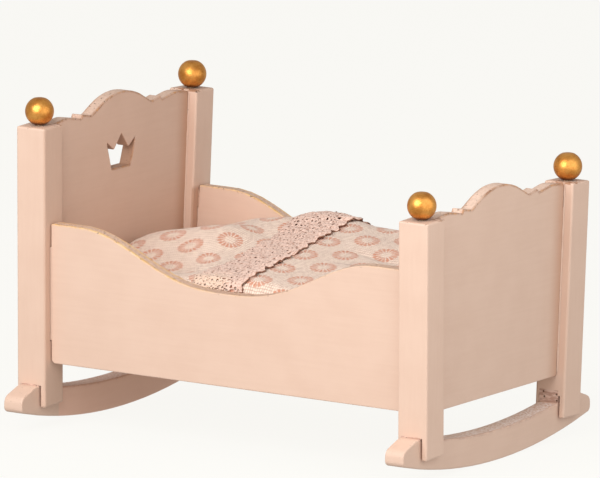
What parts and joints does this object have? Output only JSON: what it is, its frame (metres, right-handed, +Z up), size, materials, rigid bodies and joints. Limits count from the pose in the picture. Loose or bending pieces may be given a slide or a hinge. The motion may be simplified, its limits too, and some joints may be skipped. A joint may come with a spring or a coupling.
{
  "type": "doll cradle",
  "caption": "Small wooden doll cradle on curved rockers, with leaning ball-topped posts, arched end boards, dipped side rails and a lace-trimmed duvet that lifts out.",
  "frame": {"origin": "on the floor, midway between the posts", "axes": "+X from the head to the foot, +Y from the front rail to the rear rail, +Z up"},
  "size_m": [0.165, 0.1252, 0.1156],
  "materials": {
    "peach_paint": "satin peach paint on wood, rubbed at the edges",
    "gold_paint": "metallic gold paint on turned wood",
    "bare_wood": "bare sanded wood",
    "printed_cotton": "plain-weave cotton with a small coloured print",
    "cotton_lace": "puckered cotton lace"
  },
  "bodies": {
    "frame": {"head_front_post": "peach_paint", "head_rear_post": "peach_paint", "foot_front_post": "peach_paint", "foot_rear_post": "peach_paint", "head_front_ball_finial": "gold_paint", "head_rear_ball_finial": "gold_paint", "foot_front_ball_finial": "gold_paint", "foot_rear_ball_finial": "gold_paint", "head_front_finial_dowel": "bare_wood", "head_rear_finial_dowel": "bare_wood", "foot_front_finial_dowel": "bare_wood", "foot_rear_finial_dowel": "bare_wood", "head_panel": "peach_paint", "foot_panel": "peach_paint", "front_rail": "peach_paint", "rear_rail": "peach_paint", "head_rocker": "peach_paint", "foot_rocker": "peach_paint", "base_board": "bare_wood", "front_cleat": "bare_wood", "rear_cleat": "bare_wood"},
    "mattress": {"mattress": "printed_cotton"},
    "duvet": {"duvet": "printed_cotton", "lace_trim": "cotton_lace"}
  },
  "joints": [
    {"name": "mattress_lift", "type": "slide", "parent": "frame", "child": "mattress", "axis": [0, 0, 1], "range_m": [0, 0.085]},
    {"name": "duvet_lift", "type": "slide", "parent": "mattress", "child": "duvet", "axis": [0, 0, 1], "range_m": [0, 0.075]}
  ]
}
